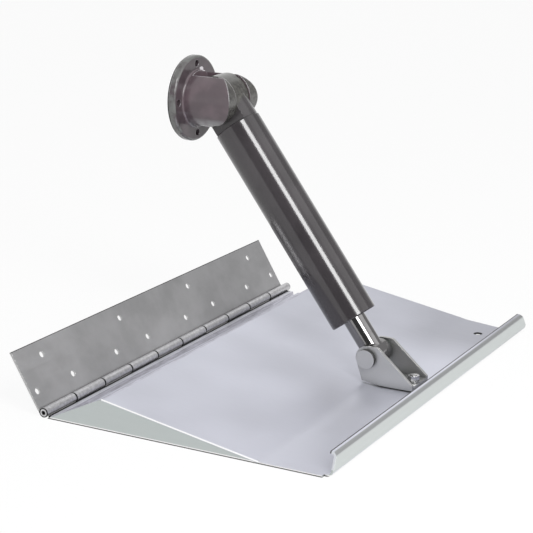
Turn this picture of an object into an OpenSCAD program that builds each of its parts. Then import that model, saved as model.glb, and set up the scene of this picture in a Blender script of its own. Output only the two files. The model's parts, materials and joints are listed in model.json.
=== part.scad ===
// Boat trim tab: a hinged wedge of folded sheet, moved by a hydraulic ram that stands
// between a clevis on the tab and a pivoting flange on the boat's transom.
// X runs along the hinge to the right, Y forward to the boat, Z up.

/* [Hinge] */
// Number of knuckles, taken in turn by the two leaves
knuckle_count = 10; // [6:2:16]
// Pitch of the knuckles along the hinge
knuckle_pitch = 37.7; // [30:0.1:50]
// Outside diameter of a knuckle
knuckle_d = 7.3; // [6.5:0.1:9]
// Gap between the ends of neighbouring knuckles
knuckle_gap = 0.6; // [0.3:0.1:1.5]
// Diameter of the hinge pin
hinge_pin_d = 3.2; // [2.5:0.1:4]
// Depth of the hinge pin's ends inside the outer knuckles
pin_recess = 3; // [1:0.5:8]
// Thickness of both hinge leaves
leaf_t = 1.5; // [1:0.1:2]
// Height of the transom leaf, from the hinge axis to its free edge
leaf_h = 50.5; // [46:0.5:70]
// Angle between the transom leaf and the tab as it stands
leaf_angle = 120.5; // [100:0.5:150]
// Depth of the tab's hinge leaf, from the hinge axis to its rear edge
strip_depth = 15; // [11:0.5:20]
// How far the last knuckle stands out past the leaves
hinge_overhang = 5; // [2:1:20]
// Clearance between a leaf's edge and the other leaf's knuckles
notch_clear = 0.5; // [0.3:0.1:1.5]
// Width of the cut corner of the tab's hinge leaf
corner_cut_w = 10; // [4:1:20]
// Depth of the cut corner of the tab's hinge leaf
corner_cut_d = 6; // [2:0.5:9]

/* [Transom screws] */
// Diameter of the screw holes in the transom leaf
screw_hole_d = 5; // [4:0.1:6.5]
// Number of three-hole groups along the leaf
group_count = 4; // [2:1:5]
// Half the distance between the two lower holes of a group
group_half = 22.5; // [12:0.5:26]
// Distance of the outermost holes from the leaf's ends
screw_edge = 7.5; // [5:0.5:20]
// Height of the lower holes above the hinge axis
low_row_h = 16.3; // [12:0.1:20]
// Height of the upper holes above the hinge axis
high_row_h = 39.6; // [30:0.1:42]

/* [Tab plate] */
// Distance from the hinge axis back to the foot of the lip
tab_chord = 237; // [225:1:300]
// Thickness of the folded sheet
sheet_t = 1.5; // [1:0.1:2]
// Distance from the hinge axis back to the crest
crest_a = 51.4; // [40:0.1:70]
// Height of the crest above the tab's underside
crest_h = 23.6; // [15:0.1:30]
// Distance of the bend where the slope ends behind the clevis pin
heel_back = 2.8; // [-20:0.1:4]
// Inside radius of the bend at the crest
crest_r = 2; // [1:0.5:5]
// Radius of the gentle bend where the slope ends
heel_r = 50; // [20:5:60]
// Height of the lip above the tab's underside
lip_h = 16; // [12:0.5:25]
// Backward lean of the lip, negative where it leans forward
lip_lean = -4; // [-10:1:15]
// How far each end of the lip's top edge stands in from the tab's side
lip_taper = 10; // [4:1:20]
// Inside radius of the bend under the lip
lip_r = 4; // [2:0.5:6]
// Inside radius of the bend along the lip's top
curl_r = 2.5; // [1.5:0.5:4]
// Depth of the lip's turned-in top, from the lip's rear face
curl_depth = 5; // [5:0.5:12]
// Width of the relief cut at each end of the lip's bend
relief_w = 3; // [1.5:0.5:5]
// Depth of the slanted cut in the right side, just in front of the lip
side_cut_w = 14; // [4:1:20]
// Distance that the slanted cut starts in front of the slope's end
side_cut_ahead = 10; // [0:1:30]
// Radius of the folded edges along the sides
edge_r = 1.8; // [0.5:0.1:2]
// Thickness of the bottom plate
bottom_t = 1.5; // [1:0.1:2]
// Seam left between sheets that are welded together
seam = 0.1; // [0.05:0.05:0.3]
// Diameter of the line hole in the rear land
line_hole_d = 6.5; // [4:0.5:8]
// Distance of the line hole from the tab's right side
line_hole_edge = 35; // [20:1:100]
// Distance of the line hole in front of the lip's foot
line_hole_back = 31; // [16:1:40]

/* [Clevis] */
// Distance of the ram and its clevis to the right of the tab's middle
ram_x = 5; // [0:1:40]
// Distance of the clevis pin in front of the lip's foot
pin_ahead = 58.8; // [54:0.1:80]
// Height of the clevis pin above the tab's underside
pin_h = 22.9; // [20:0.1:30]
// Diameter of the clevis pin
clevis_pin_d = 8; // [6:0.5:9]
// Diameter of the clevis pin's head
pin_head_d = 15; // [12:0.5:18]
// Thickness of the clevis pin's head
pin_head_t = 3.5; // [2:0.5:5]
// Width over the two cheeks
bracket_w = 30; // [28:0.5:40]
// Thickness of the bracket's metal
bracket_t = 2.6; // [2:0.1:3.5]
// Radius of the cheeks around the pin
cheek_r = 9.5; // [9:0.5:12]
// Length of the cheeks' flat top behind the pin
cheek_top = 9; // [6:0.5:14]
// Distance from the pin back to the bracket's tail
tail_back = 38.5; // [38:0.5:46]
// Height of the cheeks at the tail
tail_h = 4; // [3:0.5:8]
// Distance from the pin back to the front of the bracket's base
base_back = 11; // [9:0.5:14]
// Distance of the cheeks' front lower corner in front of the pin
nose_ahead = 4; // [0:0.5:6]
// Height of the cheeks' front lower corner above the base
nose_lift = 2.1; // [1:0.1:4]
// Thickness of the pad under the bracket
pad_t = 1; // [0.5:0.5:3]
// Diameter of the studs that hold the bracket
stud_d = 5; // [4:0.5:6]
// Distance from the pin back to the first stud
stud_back = 18; // [17:0.5:19]
// Distance between the two studs
stud_pitch = 15; // [12:0.5:15.5]
// Width across the flats of the stud nuts
nut_af = 8; // [7.5:0.5:9]
// Height of the stud nuts
nut_h = 4; // [3.5:0.5:6]
// Diameter of the washers under the nuts
washer_d = 10; // [9:0.5:11]
// Diameter of the washer on the clevis pin
pin_washer_d = 14; // [12:0.5:16]
// Thickness of the washers
washer_t = 1.2; // [0.8:0.1:2]
// How far the studs stand out of their nuts
stud_show = 0.5; // [0.5:0.5:2]

/* [Ram] */
// Distance from the hinge axis back to the upper pivot
pivot_a = 41; // [30:0.1:60]
// Height of the upper pivot above the tab's underside
pivot_h = 211.4; // [195:0.1:240]
// Diameter of the rod
rod_d = 18; // [14:0.5:18]
// Radius of the rod's eye around the clevis pin
rod_eye_r = 9.6; // [9:0.1:10]
// Width of the rod's eye
rod_eye_w = 19; // [16:0.5:20]
// Wall of the bushes in the eyes
bush_wall = 1.5; // [1:0.1:1.6]
// Free length from the clevis pin to the barrel's mouth
rod_show = 31.5; // [28:0.5:40]
// Room between the rod's end and the barrel's head, with the tab level
head_room = 10; // [9:0.5:30]
// Diameter of the rod's end that carries the piston
spigot_d = 10; // [8:0.5:11]
// Length of the piston
piston_len = 16; // [14:1:18]
// Height of the piston's nut
piston_nut_h = 6; // [5:0.5:7]
// Width across the flats of the piston's nut
piston_nut_af = 17; // [16:0.5:19]

/* [Barrel] */
// Outside diameter of the barrel
barrel_d = 38; // [36:0.5:40]
// Wall of the barrel
barrel_wall = 3.5; // [3:0.1:4]
// Distance from the upper pivot down to the barrel's top
head_gap = 24.5; // [21.5:0.5:26]
// Length of the head's plug inside the barrel
plug_len = 12; // [10:0.5:14]
// Length of the rod gland
gland_len = 24; // [22:0.5:28]
// Thickness of the snap ring that holds the gland
snap_t = 1.5; // [1:0.1:2]
// Depth of the snap ring's groove in the barrel
snap_deep = 1.1; // [0.6:0.1:1.4]
// Depth of the snap ring inside the barrel's mouth
snap_in = 2; // [1.5:0.5:3]
// Chamfer on the barrel's mouth
mouth_chamfer = 0.8; // [0.4:0.1:1.2]
// Depth of the seal grooves
seal_deep = 2; // [1.5:0.1:2.4]
// Width of the seals
seal_w = 3; // [2:0.5:3.5]
// Wire diameter of the return spring
spring_wire = 3; // [2:0.1:3.2]
// Number of turns of the return spring
spring_turns = 13; // [9:1:15]
// Width of the head's eye
tongue_w = 21; // [19:0.5:22]
// Radius of the head's eye
tongue_r = 19; // [17:0.5:19]
// Diameter of the oil ways
oil_d = 3; // [2:0.5:3.5]

/* [Upper mount] */
// Diameter of the flange
flange_d = 68; // [62:1:80]
// Thickness of the flange
flange_t = 5.5; // [5:0.5:10]
// Distance from the upper pivot forward to the flange's rear face
flange_gap = 22.4; // [21.5:0.1:30]
// Radius of the flange's rounded rim
rim_r = 2; // [1:0.5:2.5]
// Diameter of the boss
boss_d = 45; // [43:0.5:46]
// Radius of the fillet at the boss's root
boss_fillet = 2; // [0.5:0.5:2]
// Distance of the boss's axis below the upper pivot
boss_drop = 1.5; // [0:0.1:2]
// Radius of the ears around the upper pivot
ear_r = 20; // [18:0.5:20.5]
// Bolt circle of the flange
bolt_circle_d = 55; // [54:0.5:58]
// Number of bolt holes in the flange
bolt_count = 4; // [3:1:4]
// Diameter of the bolt holes in the flange
bolt_hole_d = 5.5; // [4:0.1:6]
// Diameter of the pivot pin
pivot_pin_d = 10; // [8:0.5:11]
// Length of the blind end of the pin's bore in the left ear
blind_len = 7; // [6:0.1:7.5]
// Depth of the plug in the right ear
plug_t = 3.5; // [2.5:0.5:4]
// Diameter of the hose port
port_d = 8.6; // [6:0.1:9]
// Depth of the hose port
port_deep = 9; // [7:0.5:10]
// Thickness of the gasket
gasket_t = 1.5; // [1:0.5:3]

/* [Fits] */
// Radial clearance of pins and rods that turn or slide
run_clear = 0.05; // [0.02:0.01:0.09]
// Radial clearance of rings and plugs that sit still
seat_clear = 0.1; // [0.05:0.01:0.15]
// Side clearance of eyes between cheeks or ears
side_clear = 0.3; // [0.2:0.05:0.6]

/* [Hidden] */
$fn = 64;
eps = 1;

// Hinge
knuckle_r = knuckle_d / 2;
pin_bore_r = hinge_pin_d / 2 + run_clear;
notch = sqrt(pow(knuckle_r, 2) - pow(knuckle_r - leaf_t, 2)) + notch_clear;
tab_w = knuckle_count * knuckle_pitch - hinge_overhang;
half_w = tab_w / 2;
leaf_lean = leaf_angle - 90;
group_pitch = (tab_w - 2 * (screw_edge + group_half)) / (group_count - 1);
// Part origin: the middle of the transom leaf's flat back
origin = [
    0,
    knuckle_r * cos(leaf_lean) + leaf_h / 2 * sin(leaf_lean),
    knuckle_r - knuckle_r * sin(leaf_lean) + leaf_h / 2 * cos(leaf_lean)
];

// Distances from the hinge axis back to the clevis pin and to the end of the slope
pin_a = tab_chord - pin_ahead;
heel_a = pin_a + heel_back;

// Sheet line of the tab, as [Y, Z] on its upper side, from the ramp's foot to the lip's edge
ramp_foot = [-strip_depth, 0];
crest = [-crest_a, crest_h];
heel = [-heel_a, sheet_t];
lip_foot = [-(tab_chord - sheet_t), sheet_t];
lip_top = lip_foot + (lip_h - 2 * sheet_t) * [-tan(lip_lean), 1];
lip_edge = lip_top + [curl_depth - sheet_t, 0];
sheet_line = [ramp_foot, crest, heel, lip_foot, lip_top, lip_edge];
sheet_radii = [0, crest_r + sheet_t, heel_r, lip_r, curl_r, 0];
slope = atan2(crest_h - sheet_t, heel_a - crest_a);
slope_len = norm(heel - crest);
bottom_end = heel_a - (bottom_t + seam) / tan(slope);
arc_steps = 8;

// Clevis
base_z = sheet_t + pad_t;
base_top = base_z + bracket_t;
cheek_in = bracket_w / 2 - bracket_t;
pin_bore_clevis_r = clevis_pin_d / 2 + run_clear;
stud_rows = [pin_a + stud_back, pin_a + stud_back + stud_pitch];
clip_x = bracket_w / 2 + washer_t;
clip_t = 1;
clip_groove = 1;
clip_r = clevis_pin_d / 2 + 2.5;
pin_tail = 2;

// Ram, measured from the clevis pin along its axis
ram_reach = [pin_a - pivot_a, pivot_h - pin_h];
ram_len = norm(ram_reach);
ram_lean = atan2(ram_reach.x, ram_reach.y);
rod_r = rod_d / 2;
barrel_top = ram_len - head_gap;
spigot_over = 1;
spigot_end = barrel_top - plug_len - head_room;
piston_top = spigot_end - spigot_over - piston_nut_h;
shoulder_s = piston_top - piston_len;
rod_bush_bore = clevis_pin_d / 2 + run_clear;
rod_eye_bore = rod_bush_bore + bush_wall + seat_clear;
bush_flange_r = rod_eye_bore + 1.8;

// Barrel, measured in the same way
bore_r = barrel_d / 2 - barrel_wall;
piston_r = bore_r - side_clear;
plug_r = bore_r - seat_clear;
snap_s = rod_show + snap_in;
gland_s = snap_s + snap_t + seat_clear;
gland_top = gland_s + gland_len;
wiper_s = gland_s + 2;
rod_seal_s = gland_s + gland_len / 2;
gland_ring_s = gland_top - seal_w - 3;
head_ring_s = barrel_top - plug_len / 2 - seal_w / 2;
spring_r = (rod_r + bore_r) / 2;
spring_low = gland_top + spring_wire / 2 + seat_clear;
spring_high = shoulder_s - spring_wire / 2 - seat_clear;
spring_sides = 8;
spring_steps = 16;
pivot_bush_bore = pivot_pin_d / 2 + run_clear;
tongue_bore = pivot_bush_bore + bush_wall + seat_clear;
gallery_half = 2.5;
pivot_seal_w = 2;

// Upper mount, measured from the upper pivot
slot_w = tongue_w + 2 * side_clear;
slot_floor = tongue_r + 2 * side_clear;
flange_back = flange_gap + flange_t;
ear_out = boss_d / 2;
root_lap = 0.1;
blind_end = slot_w / 2 + blind_len;
oil_inset = 0.4;
pin_left = blind_end - oil_d - 2 * oil_inset;
plug_out = ear_out - 1;
plug_r_pin = pivot_pin_d / 2 + 1;
oil_x = -(blind_end - oil_inset - oil_d / 2);

// Geometry of folded sheets

function unit(v) = v / norm(v);
function left(v) = [-v.y, v.x];
function turned(v, b) = [v.x * cos(b) - v.y * sin(b), v.x * sin(b) + v.y * cos(b)];
function bend(u, v) = atan2(u.x * v.y - u.y * v.x, u * v);
function at_height(p, u, h) = p + u * (h - p.y) / u.y;
function mitre(p, u, v, d) = p + d * (left(u) + left(v)) / (1 + left(u) * left(v));
function ahead(line, i) = unit(line[i + 1] - line[i]);

// Points of a round corner at p, between directions u and v
function corner(p, u, v, r) =
    let (turn = bend(u, v))
    let (start = p - r * tan(abs(turn) / 2) * u)
    let (centre = start + sign(turn) * r * left(u))
    [for (i = [0 : arc_steps]) centre + turned(start - centre, turn * i / arc_steps)];

// Round corner i of a sheet line that is moved to its left by d
function sheet_corner(line, radii, i, d) =
    let (u = ahead(line, i - 1))
    let (v = ahead(line, i))
    corner(mitre(line[i], u, v, d), u, v, radii[i] - sign(bend(u, v)) * d);

// Points of a whole side of a sheet, cut level at its start
function sheet_side(line, radii, d, start_h) =
    let (last = len(line) - 1)
    let (u = ahead(line, 0))
    let (w = ahead(line, last - 1))
    concat(
        [at_height(line[0] + d * left(u), u, start_h)],
        [for (i = [1 : last - 1]) each sheet_corner(line, radii, i, d)],
        [line[last] + d * left(w)]
    );

function reversed(list) = [for (i = [len(list) - 1 : -1 : 0]) list[i]];

// Point where a line from p touches the front of a circle
function front_tangent(p, c, r) =
    let (gap = norm(c - p))
    let (b = atan2((c - p).y, (c - p).x) - asin(r / gap))
    p + sqrt(gap * gap - r * r) * [cos(b), sin(b)];

// Shared shapes

module part_frame() {
    translate(-origin) children();
}

// A [Y, Z] outline drawn out along X
module along_x(x0, x1) {
    translate([x0, 0, 0])
        rotate([90, 0, 90])
            linear_extrude(x1 - x0) children();
}

module x_cylinder(x0, x1, r) {
    translate([x0, 0, 0])
        rotate([0, 90, 0])
            cylinder(h = x1 - x0, r = r);
}

module tube(h, outer, inner) {
    difference() {
        cylinder(h = h, r = outer);
        translate([0, 0, -eps]) cylinder(h = h + 2 * eps, r = inner);
    }
}

module x_tube(x0, x1, outer, inner) {
    translate([x0, 0, 0])
        rotate([0, 90, 0])
            tube(x1 - x0, outer, inner);
}

module ram_frame() {
    part_frame() translate([ram_x, 0, 0]) children();
}

module at_hinge() {
    translate([0, 0, knuckle_r]) children();
}

module at_clevis() {
    translate([0, -pin_a, pin_h]) children();
}

module on_ram() {
    at_clevis() rotate([-ram_lean, 0, 0]) children();
}

module at_pivot() {
    translate([0, -pivot_a, pivot_h]) children();
}

// Knuckles of one leaf, each with the tail that joins it to its flat sheet
module knuckles(first) {
    for (i = [first : 2 : knuckle_count - 1]) {
        x0 = -half_w + i * knuckle_pitch + knuckle_gap / 2;
        x1 = -half_w + (i + 1) * knuckle_pitch - knuckle_gap / 2;
        x_cylinder(x0, x1, knuckle_r);
        translate([x0, knuckle_r - leaf_t, 0])
            cube([min(x1, half_w) - x0, leaf_t, notch + eps]);
    }
}

module pin_bore() {
    x_cylinder(-half_w - eps, half_w + hinge_overhang + eps, pin_bore_r);
}

// Transom side

module transom_leaf() {
    color([0.6, 0.6, 0.61])
        part_frame() at_hinge() rotate([-leaf_lean, 0, 0])
            difference() {
                union() {
                    translate([-half_w, knuckle_r - leaf_t, notch])
                        cube([tab_w, leaf_t, leaf_h - notch]);
                    knuckles(0);
                }
                pin_bore();
                transom_holes();
            }
}

module transom_holes() {
    for (g = [0 : group_count - 1]) {
        x = -half_w + screw_edge + group_half + g * group_pitch;
        screw_hole(x, high_row_h);
        for (side = [-1, 1]) screw_hole(x + side * group_half, low_row_h);
    }
}

module screw_hole(x, h) {
    translate([x, knuckle_r + eps, h])
        rotate([90, 0, 0])
            cylinder(h = leaf_t + 2 * eps, d = screw_hole_d);
}

module hinge_pin() {
    color([0.7, 0.7, 0.71])
        part_frame() at_hinge()
            x_cylinder(-half_w + pin_recess, half_w + hinge_overhang - pin_recess, hinge_pin_d / 2);
}

// Tab

module tab_hinge_leaf() {
    color([0.72, 0.73, 0.76])
        part_frame()
            difference() {
                union() {
                    linear_extrude(leaf_t) strip_plan();
                    at_hinge() mirror([0, 1, 0]) rotate([-90, 0, 0]) knuckles(1);
                }
                at_hinge() pin_bore();
            }
}

module strip_plan() {
    polygon([
        [-half_w + sheet_t + seam, -notch],
        [half_w, -notch],
        [half_w, -(strip_depth - corner_cut_d)],
        [half_w - corner_cut_w, -strip_depth],
        [-half_w + sheet_t + seam, -strip_depth]
    ]);
}

module tab_plate() {
    color([0.76, 0.76, 0.8])
        part_frame()
            difference() {
                union() {
                    along_x(-half_w, half_w) polygon(sheet_outline());
                    along_x(-half_w, -half_w + sheet_t) polygon(flange_outline([-notch, 0]));
                    along_x(half_w - sheet_t, half_w) polygon(flange_outline(ramp_foot));
                }
                for (side = [0, 1]) mirror([side, 0, 0]) {
                    folded_edge();
                    lip_relief();
                    lip_end();
                }
                side_cut();
                translate([half_w - line_hole_edge, -(tab_chord - line_hole_back), -eps])
                    cylinder(h = sheet_t + 2 * eps, d = line_hole_d);
            }
}

function sheet_outline() = concat(
    sheet_side(sheet_line, sheet_radii, 0, bottom_t),
    reversed(sheet_side(sheet_line, sheet_radii, sheet_t, bottom_t))
);

// Outline of a side flange whose front edge starts at toe
function flange_outline(toe) =
    let (end = sheet_corner(sheet_line, sheet_radii, 2, 0))
    concat(
        [toe],
        sheet_corner(sheet_line, sheet_radii, 1, 0),
        end,
        [[end[arc_steps].x, 0]]
    );

// What the folded side edge leaves off along the slope
module folded_edge() {
    translate([half_w, crest.x, crest.y])
        rotate([slope, 0, 0])
            difference() {
                translate([-edge_r, -slope_len, -edge_r])
                    cube([edge_r + eps, slope_len, edge_r + eps]);
                translate([-edge_r, eps, -edge_r])
                    rotate([90, 0, 0])
                        cylinder(h = slope_len + 2 * eps, r = edge_r);
            }
}

module lip_relief() {
    translate([half_w - relief_w, -tab_chord, -eps])
        cube([relief_w + eps, lip_r + 2 * sheet_t, lip_r + sheet_t + eps]);
}

// What the slanted end of the lip leaves off
module lip_end() {
    translate([0, -tab_chord + lip_h, 0])
        rotate([90, 0, 0])
            linear_extrude(2 * lip_h)
                polygon([
                    [half_w - relief_w, lip_r + sheet_t],
                    [half_w + eps, lip_r + sheet_t],
                    [half_w + eps, lip_h + eps],
                    [half_w - lip_taper, lip_h + eps],
                    [half_w - lip_taper, lip_h]
                ]);
}

// Slanted cut that leaves the lip's right end standing free
module side_cut() {
    cut_end = -(tab_chord - lip_r - 2 * sheet_t);
    translate([0, 0, -eps])
        linear_extrude(lip_h)
            polygon([
                [half_w + eps, side_cut_ahead - heel_a],
                [half_w, side_cut_ahead - heel_a],
                [half_w - side_cut_w, cut_end],
                [half_w + eps, cut_end]
            ]);
}

module bottom_plate() {
    color([0.7, 0.7, 0.72])
        part_frame()
            translate([-half_w + sheet_t + seam, -bottom_end, 0])
                cube([tab_w - 2 * (sheet_t + seam), bottom_end - strip_depth, bottom_t]);
}

// Clevis

module clevis_bracket() {
    color([0.64, 0.64, 0.65])
        ram_frame()
            difference() {
                union() {
                    for (x = [-bracket_w / 2, cheek_in]) cheek(x);
                    along_x(-cheek_in - bracket_t / 2, cheek_in + bracket_t / 2)
                        polygon(base_outline());
                }
                at_clevis() x_cylinder(-bracket_w, bracket_w, pin_bore_clevis_r);
                stud_bores(base_z, bracket_t);
            }
}

module cheek(x) {
    along_x(x, x + bracket_t) polygon(cheek_outline());
    at_clevis() x_cylinder(x, x + bracket_t, cheek_r);
}

function cheek_outline() =
    let (pin = [-pin_a, pin_h])
    let (top = pin + [0, cheek_r])
    let (shoulder = top - [cheek_top, 0])
    let (tail = [-(pin_a + tail_back), base_z + tail_h])
    let (nose = [nose_ahead - pin_a, base_z + nose_lift])
    concat(
        [top],
        corner(shoulder, [-1, 0], unit(tail - shoulder), cheek_r / 2),
        [tail, [tail.x, base_z], [-(pin_a + base_back), base_z], nose],
        [front_tangent(nose, pin, cheek_r)]
    );

function base_outline() =
    let (front = -(pin_a + base_back))
    let (back = -(pin_a + tail_back))
    [[front, base_z], [front, base_top], [back, base_top], [back, base_z]];

module stud_bores(z, h) {
    for (a = stud_rows)
        translate([0, -a, z - eps])
            cylinder(h = h + 2 * eps, r = stud_d / 2 + seat_clear);
}

module bracket_pad() {
    color([0.12, 0.12, 0.12])
        ram_frame()
            difference() {
                translate([-bracket_w / 2, -(pin_a + tail_back), sheet_t])
                    cube([bracket_w, tail_back - base_back, pad_t]);
                stud_bores(sheet_t, pad_t);
            }
}

module clevis_studs() {
    color([0.7, 0.7, 0.71])
        ram_frame()
            for (a = stud_rows)
                translate([0, -a, sheet_t])
                    cylinder(h = pad_t + bracket_t + washer_t + nut_h + stud_show, d = stud_d);
}

module stud_washers() {
    color([0.75, 0.75, 0.76])
        ram_frame()
            for (a = stud_rows)
                translate([0, -a, base_top]) tube(washer_t, washer_d / 2, stud_d / 2 + seat_clear);
}

module hex_nut(h, af, bore) {
    difference() {
        cylinder(h = h, d = af / cos(30), $fn = 6);
        translate([0, 0, -eps]) cylinder(h = h + 2 * eps, r = bore);
    }
}

module stud_nuts() {
    color([0.72, 0.72, 0.73])
        ram_frame()
            for (a = stud_rows)
                translate([0, -a, base_top + washer_t])
                    hex_nut(nut_h, nut_af, stud_d / 2 + seat_clear);
}

module clevis_pin() {
    color([0.74, 0.74, 0.75])
        ram_frame() at_clevis()
            difference() {
                union() {
                    x_cylinder(-bracket_w / 2 - pin_head_t, -bracket_w / 2, pin_head_d / 2);
                    x_cylinder(-bracket_w / 2, clip_x + clip_t + pin_tail, clevis_pin_d / 2);
                }
                x_tube(clip_x, clip_x + clip_t, clevis_pin_d, clevis_pin_d / 2 - clip_groove);
            }
}

module pin_washer() {
    color([0.75, 0.75, 0.76])
        ram_frame() at_clevis()
            x_tube(bracket_w / 2, clip_x, pin_washer_d / 2, pin_bore_clevis_r);
}

// Spring clip, open at the top so that it pushes on from below
module pin_clip() {
    color([0.5, 0.5, 0.51])
        ram_frame() at_clevis()
            difference() {
                x_tube(
                    clip_x + seat_clear, clip_x + clip_t - seat_clear,
                    clip_r, clevis_pin_d / 2 - clip_groove + seat_clear
                );
                translate([clip_x - eps, -clevis_pin_d / 2 + clip_groove, 0])
                    cube([clip_t + 2 * eps, clevis_pin_d - 2 * clip_groove, clip_r + eps]);
            }
}

// Ram

module ram_rod() {
    color([0.8, 0.8, 0.82])
        ram_frame() on_ram()
            difference() {
                union() {
                    x_cylinder(-rod_eye_w / 2, rod_eye_w / 2, rod_eye_r);
                    cylinder(h = shoulder_s, r = rod_r);
                    cylinder(h = spigot_end, d = spigot_d);
                }
                x_cylinder(-rod_d, rod_d, rod_eye_bore);
            }
}

module rod_bushes() {
    color([0.85, 0.83, 0.76])
        ram_frame() on_ram()
            for (side = [0, 1]) mirror([side, 0, 0]) {
                x_tube(seat_clear, rod_eye_w / 2, rod_eye_bore - seat_clear, rod_bush_bore);
                x_tube(rod_eye_w / 2, cheek_in - side_clear, bush_flange_r, rod_bush_bore);
            }
}

module piston() {
    color([0.62, 0.62, 0.64])
        ram_frame() on_ram()
            translate([0, 0, shoulder_s])
                difference() {
                    tube(piston_len, piston_r, spigot_d / 2 + seat_clear);
                    for (s = piston_seal_rows()) ring_cut(s, seal_w, piston_r, seal_deep);
                    ring_cut(wear_row(), seal_w, piston_r, seal_deep);
                }
}

function piston_seal_rows() = [2, piston_len - 2 - seal_w];
function wear_row() = (piston_len - seal_w) / 2;

// Groove cut into a round wall of radius r
module ring_cut(s, w, r, deep) {
    translate([0, 0, s]) tube(w, r + eps, r - deep);
}

module piston_seals() {
    color([0.08, 0.08, 0.08])
        ram_frame() on_ram()
            for (s = piston_seal_rows()) piston_ring(s);
}

module piston_ring(s) {
    translate([0, 0, shoulder_s + s + seat_clear])
        tube(seal_w - 2 * seat_clear, bore_r - run_clear, piston_r - seal_deep + seat_clear);
}

module wear_ring() {
    color([0.75, 0.62, 0.35])
        ram_frame() on_ram() piston_ring(wear_row());
}

module piston_nut() {
    color([0.7, 0.7, 0.71])
        ram_frame() on_ram()
            translate([0, 0, piston_top])
                hex_nut(piston_nut_h, piston_nut_af, spigot_d / 2 + seat_clear);
}

// Barrel

module barrel_tube() {
    color([0.27, 0.26, 0.27])
        ram_frame() on_ram()
            rotate_extrude()
                polygon([
                    [bore_r, rod_show],
                    [barrel_d / 2 - mouth_chamfer, rod_show],
                    [barrel_d / 2, rod_show + mouth_chamfer],
                    [barrel_d / 2, barrel_top - mouth_chamfer],
                    [barrel_d / 2 - mouth_chamfer, barrel_top],
                    [bore_r, barrel_top],
                    [bore_r, snap_s + snap_t],
                    [bore_r + snap_deep, snap_s + snap_t],
                    [bore_r + snap_deep, snap_s],
                    [bore_r, snap_s]
                ]);
}

module barrel_head() {
    color([0.3, 0.3, 0.28])
        ram_frame() on_ram()
            difference() {
                union() {
                    translate([0, 0, barrel_top - plug_len]) cylinder(h = plug_len, r = plug_r);
                    translate([0, 0, barrel_top]) tongue_neck();
                    translate([0, 0, ram_len]) x_cylinder(-tongue_w / 2, tongue_w / 2, tongue_r);
                }
                ring_cut(head_ring_s, seal_w, plug_r, seal_deep);
                translate([0, 0, ram_len]) x_cylinder(-tongue_w, tongue_w, tongue_bore);
                translate([0, 0, barrel_top - plug_len - eps])
                    cylinder(h = plug_len + head_gap - tongue_bore + 2 * eps, d = oil_d);
            }
}

// Neck between the plug and the eye, as thick as the eye
module tongue_neck() {
    intersection() {
        cylinder(h = head_gap, r = tongue_r - mouth_chamfer);
        translate([-tongue_w / 2, -barrel_d, 0]) cube([tongue_w, 2 * barrel_d, head_gap]);
    }
}

module head_ring() {
    color([0.08, 0.08, 0.08])
        ram_frame() on_ram()
            translate([0, 0, head_ring_s + seat_clear])
                tube(seal_w - 2 * seat_clear, bore_r - seat_clear / 2, plug_r - seal_deep + seat_clear);
}

module rod_gland() {
    color([0.66, 0.58, 0.36])
        ram_frame() on_ram()
            difference() {
                translate([0, 0, gland_s]) tube(gland_len, plug_r, rod_r + run_clear);
                ring_cut(gland_ring_s, seal_w, plug_r, seal_deep);
                for (s = [wiper_s, rod_seal_s])
                    translate([0, 0, s]) cylinder(h = seal_w, r = rod_r + run_clear + seal_deep);
            }
}

module gland_ring() {
    color([0.08, 0.08, 0.08])
        ram_frame() on_ram()
            translate([0, 0, gland_ring_s + seat_clear])
                tube(seal_w - 2 * seat_clear, bore_r - seat_clear / 2, plug_r - seal_deep + seat_clear);
}

// Ring that bears on the rod, in a groove of the gland
module rod_ring(s) {
    translate([0, 0, s + seat_clear])
        tube(seal_w - 2 * seat_clear, rod_r + run_clear + seal_deep - seat_clear, rod_r + run_clear);
}

module rod_seal() {
    color([0.08, 0.08, 0.08])
        ram_frame() on_ram() rod_ring(rod_seal_s);
}

module rod_wiper() {
    color([0.1, 0.12, 0.2])
        ram_frame() on_ram() rod_ring(wiper_s);
}

module snap_ring() {
    color([0.5, 0.5, 0.51])
        ram_frame() on_ram()
            difference() {
                translate([0, 0, snap_s + seat_clear / 2])
                    tube(snap_t - seat_clear, bore_r + snap_deep - seat_clear, bore_r - barrel_wall / 2);
                translate([0, -bore_r, snap_s + snap_t / 2]) cube([bore_r / 2, bore_r, 2 * snap_t], center = true);
            }
}

// Points around the spring's wire at turn angle b
function spring_loop(b) =
    let (s = spring_low + (spring_high - spring_low) * b / (360 * spring_turns))
    [for (i = [0 : spring_sides - 1])
        let (w = 360 * i / spring_sides)
        let (r = spring_r + spring_wire / 2 * cos(w))
        [r * cos(b), r * sin(b), s + spring_wire / 2 * sin(w)]];

module return_spring() {
    loops = spring_turns * spring_steps;
    points = [for (k = [0 : loops]) each spring_loop(k * 360 / spring_steps)];
    sides = [for (k = [0 : loops - 1], i = [0 : spring_sides - 1])
        let (j = (i + 1) % spring_sides)
        let (row = k * spring_sides)
        [row + i, row + spring_sides + i, row + spring_sides + j, row + j]];
    first = [for (i = [0 : spring_sides - 1]) i];
    last = [for (i = [spring_sides - 1 : -1 : 0]) loops * spring_sides + i];
    color([0.55, 0.55, 0.57])
        ram_frame() on_ram() polyhedron(points, concat(sides, [first], [last]));
}

module pivot_bushes() {
    color([0.85, 0.83, 0.76])
        ram_frame() at_pivot()
            for (side = [0, 1]) mirror([side, 0, 0])
                x_tube(
                    gallery_half + pivot_seal_w + seat_clear, tongue_w / 2,
                    tongue_bore - seat_clear, pivot_bush_bore
                );
}

module pivot_seals() {
    color([0.08, 0.08, 0.08])
        ram_frame() at_pivot()
            for (side = [0, 1]) mirror([side, 0, 0])
                x_tube(gallery_half, gallery_half + pivot_seal_w, tongue_bore - seat_clear, pivot_bush_bore);
}

// Upper mount

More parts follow.
